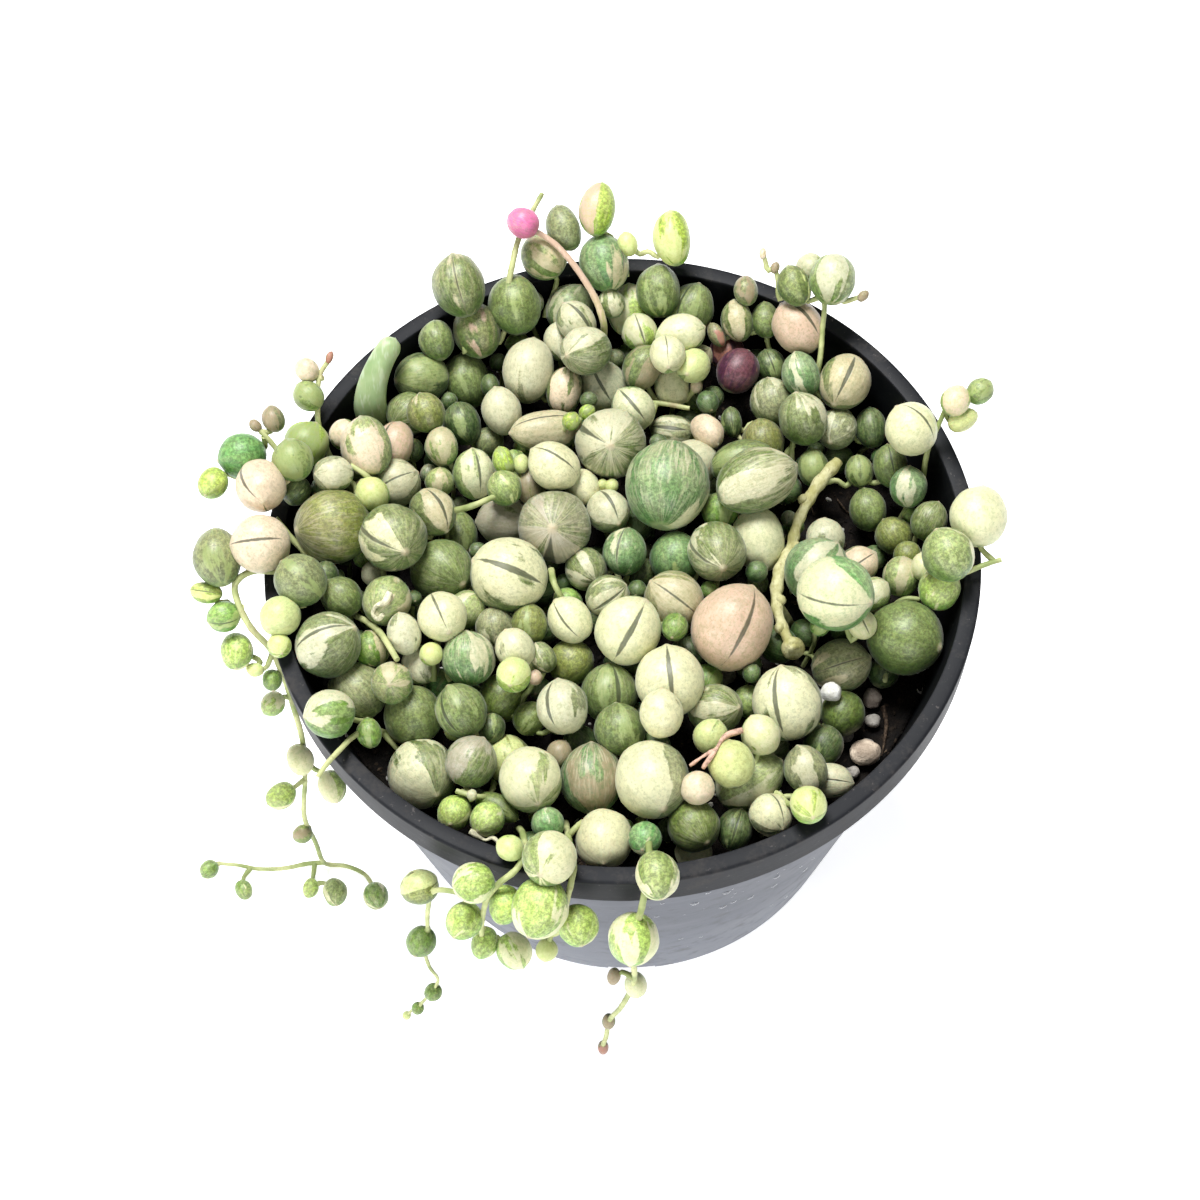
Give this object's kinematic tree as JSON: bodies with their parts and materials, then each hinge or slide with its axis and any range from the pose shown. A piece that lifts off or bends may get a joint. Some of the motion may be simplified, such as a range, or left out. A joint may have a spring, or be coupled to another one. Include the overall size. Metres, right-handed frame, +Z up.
{
  "type": "potted string of pearls plant",
  "caption": "Variegated trailing succulent with round pearl-like leaves on thin stems, heaped in a small round nursery pot and hanging over its rim.",
  "frame": {"origin": "centre of the pot's underside", "axes": "+Z up out of the pot, +X to the right in the picture, -Y towards the viewer"},
  "size_m": [0.1294, 0.1211, 0.0917],
  "materials": {
    "pot": "satin black moulded plastic with light scuffs",
    "soil": "dark loose peat and bark",
    "stone": "rough",
    "perlite": "rough and white",
    "pearls_grey": "waxy grey-green skin with pale streaks",
    "pearls_cream": "waxy cream and grey-green skin",
    "pearls_bright": "waxy yellow-green skin",
    "pearls_blush": "waxy skin, cream to blush pink",
    "pearls_purple": "dull dark purple skin",
    "flower": "soft matt stalk and pink bud",
    "leaf": "waxy pale green",
    "old_stem": "dry, knobbly and pale"
  },
  "bodies": {
    "root": {"pot": "pot", "soil": "soil", "stone_beige": "stone", "stone_grey": "stone", "stone_front": "stone", "perlite_white": "perlite", "stone_middle": "stone", "strand_left_back": "pearls_bright", "strand_left_tips": "pearls_bright", "strand_left_hanging": "pearls_bright", "strand_left_rim": "pearls_bright", "strand_left_big": "pearls_grey", "strand_left_crown": "pearls_cream", "strand_left_front": "pearls_cream", "strand_front_left_shoot": "pearls_grey", "strand_back_left_low": "pearls_grey", "strand_back_left_high": "pearls_bright", "strand_inner_left": "pearls_grey", "strand_inner_back": "pearls_blush", "strand_boat": "pearls_bright", "strand_white_star": "pearls_cream", "strand_grey_star": "pearls_grey", "strand_dark_pair": "pearls_grey", "strand_cream_left": "pearls_cream", "strand_white_left": "pearls_cream", "strand_young_front": "pearls_cream", "strand_front_middle": "pearls_grey", "strand_cream_middle": "pearls_cream", "strand_dark_front": "pearls_grey", "strand_front_heap": "pearls_cream", "strand_front_left_leaf": "pearls_grey", "strand_front_left_hanging": "pearls_bright", "strand_front_overhang": "pearls_bright", "strand_front_hanging": "pearls_cream", "strand_front_big": "pearls_cream", "strand_front_rings": "pearls_bright", "strand_front_right": "pearls_grey", "strand_front_slits": "pearls_cream", "strand_right_slit": "pearls_cream", "strand_blush": "pearls_blush", "strand_yellow": "pearls_bright", "strand_largest": "pearls_grey", "strand_tall_star": "pearls_cream", "strand_back_cluster": "pearls_cream", "strand_back_rim": "pearls_bright", "strand_back_inner": "pearls_cream", "strand_back_right": "pearls_blush", "strand_right_shoot": "pearls_bright", "strand_right_back": "pearls_cream", "strand_right_inner": "pearls_bright", "strand_right_rim_shoot": "pearls_blush", "strand_right_small": "pearls_grey", "strand_right_rim": "pearls_cream", "strand_right_white": "pearls_cream", "strand_right_big": "pearls_bright", "purple_pearls": "pearls_purple", "flower": "flower", "long_leaf": "leaf", "cut_stem": "old_stem"}
  },
  "joints": []
}
